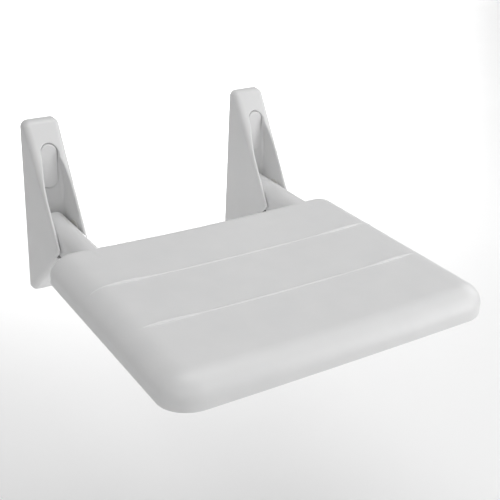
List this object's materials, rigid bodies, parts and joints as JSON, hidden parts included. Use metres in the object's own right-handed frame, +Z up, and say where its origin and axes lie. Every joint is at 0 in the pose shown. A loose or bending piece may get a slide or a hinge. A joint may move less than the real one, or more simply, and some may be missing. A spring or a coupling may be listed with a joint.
{
  "type": "fold-up shower seat",
  "caption": "Wall-mounted shower seat: a moulded white seat that folds up on hinge pins between two tall triangular wall brackets.",
  "frame": {"origin": "centre of the pattern of wall screw holes, in the plane of the wall", "axes": "+X across the seat to the right as seen by someone facing the wall, +Y into the wall, +Z up; the seat reaches out towards -Y"},
  "size_m": [0.3996, 0.4382, 0.229],
  "materials": {
    "bracket_plastic": "white moulded plastic, semi-gloss",
    "cover_plastic": "white moulded plastic, semi-gloss",
    "seat_plastic": "white moulded plastic, fine satin grain",
    "panel_plastic": "white moulded plastic, matt underside",
    "arm_metal": "satin anodised",
    "pin_steel": "turned stainless",
    "screw_steel": "stainless",
    "bush_nylon": "natural nylon",
    "pad_rubber": "grey rubber"
  },
  "bodies": {
    "root": {"left_wall_bracket": "bracket_plastic", "left_screw_cover": "cover_plastic", "left_hinge_pin": "pin_steel", "left_pin_plug": "cover_plastic", "left_rest_pad": "pad_rubber", "left_friction_washers": "bush_nylon", "right_wall_bracket": "bracket_plastic", "right_screw_cover": "cover_plastic", "right_hinge_pin": "pin_steel", "right_pin_plug": "cover_plastic", "right_rest_pad": "pad_rubber", "right_friction_washers": "bush_nylon"},
    "seat": {"seat_shell": "seat_plastic", "base_panel": "panel_plastic", "panel_screws": "screw_steel", "left_arm_bar": "arm_metal", "left_arm_cover": "seat_plastic", "left_pivot_bush": "bush_nylon", "left_arm_screws": "screw_steel", "right_arm_bar": "arm_metal", "right_arm_cover": "seat_plastic", "right_pivot_bush": "bush_nylon", "right_arm_screws": "screw_steel"}
  },
  "joints": [
    {"name": "seat_fold", "type": "hinge", "parent": "root", "child": "seat", "pos_m": [0, -0.06, -0.0735], "axis": [-1, 0, 0], "range_deg": [0, 92]}
  ]
}
